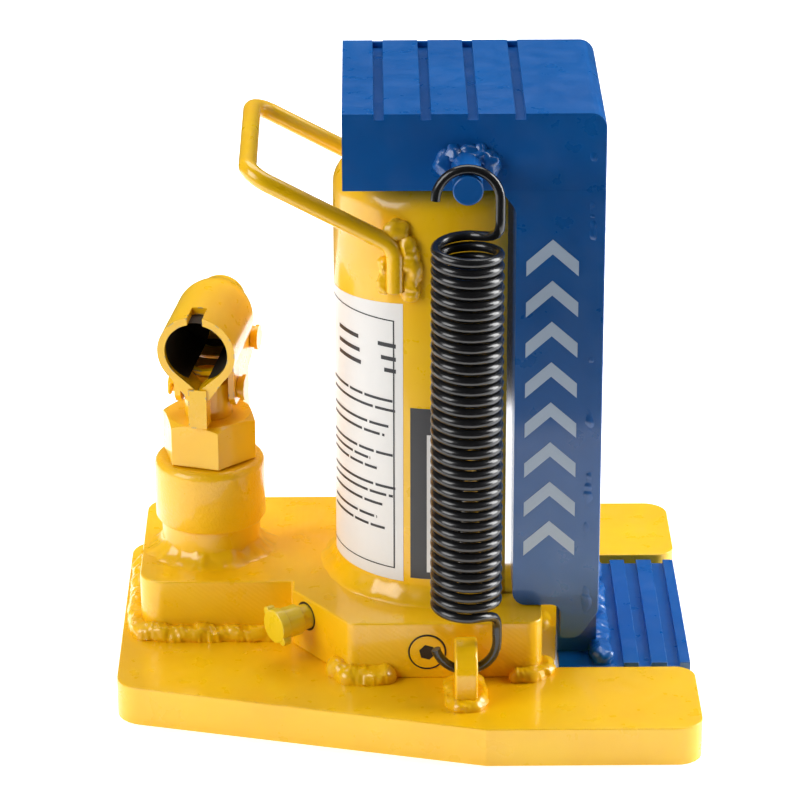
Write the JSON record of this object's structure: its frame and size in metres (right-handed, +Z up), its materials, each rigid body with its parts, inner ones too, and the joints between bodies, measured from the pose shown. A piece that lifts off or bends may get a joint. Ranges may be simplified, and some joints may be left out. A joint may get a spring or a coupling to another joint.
{
  "type": "toe jack",
  "caption": "Hydraulic toe jack with a forked base plate, a sliding carriage with a grooved head and a low ribbed toe, side return springs and a hand pump.",
  "frame": {"origin": "on the ram axis, at the underside of the base plate", "axes": "+Z up, the way the head lifts; +X towards the toe; +Y away from the release valve"},
  "size_m": [0.2285, 0.21, 0.245],
  "materials": {
    "yellow_paint": "glossy enamel",
    "blue_paint": "satin enamel",
    "black_spring_wire": "oiled black",
    "hard_chrome": "polished",
    "bare_steel": "turned",
    "seal_rubber": "matt",
    "white_label": "printed film",
    "dark_label": "printed film",
    "decal": "printed film"
  },
  "bodies": {
    "frame": {"base_plate": "yellow_paint", "base_block": "yellow_paint", "front_spring_lug": "yellow_paint", "back_spring_lug": "yellow_paint", "carry_handle": "yellow_paint", "reservoir_tube": "yellow_paint", "pump_base": "yellow_paint", "pump_collar": "yellow_paint", "gland_nut": "yellow_paint", "fulcrum_ear": "yellow_paint", "anchor_pin": "yellow_paint", "safety_plug": "yellow_paint", "cylinder_weld": "yellow_paint", "pump_weld": "yellow_paint", "block_welds": "yellow_paint", "front_lug_weld": "yellow_paint", "back_lug_weld": "yellow_paint", "handle_welds": "yellow_paint", "anchor_split_pin": "yellow_paint", "front_spring": "black_spring_wire", "back_spring": "black_spring_wire", "guide_column": "hard_chrome", "cylinder_liner": "bare_steel", "ram_gland": "bare_steel", "check_ball": "bare_steel", "safety_ball": "bare_steel", "safety_spring": "bare_steel", "ram_seal": "seal_rubber", "plunger_seal": "seal_rubber", "white_label": "white_label", "dark_label": "dark_label"},
    "carriage": {"head": "blue_paint", "front_cheek": "blue_paint", "back_cheek": "blue_paint", "web": "blue_paint", "toe_plate": "blue_paint", "front_spring_pin": "blue_paint", "back_spring_pin": "blue_paint", "front_pin_weld": "blue_paint", "back_pin_weld": "blue_paint", "toe_weld": "blue_paint", "front_decal": "decal", "ram": "hard_chrome", "piston": "bare_steel", "piston_seal": "seal_rubber"},
    "plunger_body": {"plunger": "yellow_paint"},
    "lever": {"handle_socket": "yellow_paint", "plunger_pin": "yellow_paint", "plunger_split_pin": "yellow_paint"},
    "link": {"left_link_strap": "yellow_paint", "right_link_strap": "yellow_paint", "fulcrum_pin": "yellow_paint", "fulcrum_split_pin": "yellow_paint"},
    "valve": {"release_valve": "yellow_paint"}
  },
  "joints": [
    {"name": "lift", "type": "slide", "parent": "frame", "child": "carriage", "axis": [0, 0, 1], "range_m": [0, 0.13], "stiffness_N_per_m": 800, "springref_m": -0.02, "deforming": ["front_spring", "back_spring"]},
    {"name": "plunger_slide", "type": "slide", "parent": "frame", "child": "plunger_body", "axis": [0, 0, 1], "range_m": [0, 0.01255]},
    {"name": "socket_hinge", "type": "hinge", "parent": "plunger_body", "child": "lever", "pos_m": [-0.093, 0.014, 0.1106], "axis": [-0.9823, 0.1874, 0], "range_deg": [0, 26.2]},
    {"name": "link_hinge", "type": "hinge", "parent": "frame", "child": "link", "pos_m": [-0.08787, 0.04091, 0.072], "axis": [-0.9823, 0.1874, 0], "range_deg": [0, 3.2]},
    {"name": "valve_turn", "type": "hinge", "parent": "frame", "child": "valve", "pos_m": [-0.05375, -0.03744, 0.032], "axis": [-0.8068, -0.5908, 0], "range_deg": [0, 180]}
  ],
  "couplings": [
    {"joint": "socket_hinge", "follows": "plunger_slide", "rad_per_m": 36.153},
    {"joint": "link_hinge", "follows": "plunger_slide", "rad_per_m": 4.302}
  ]
}
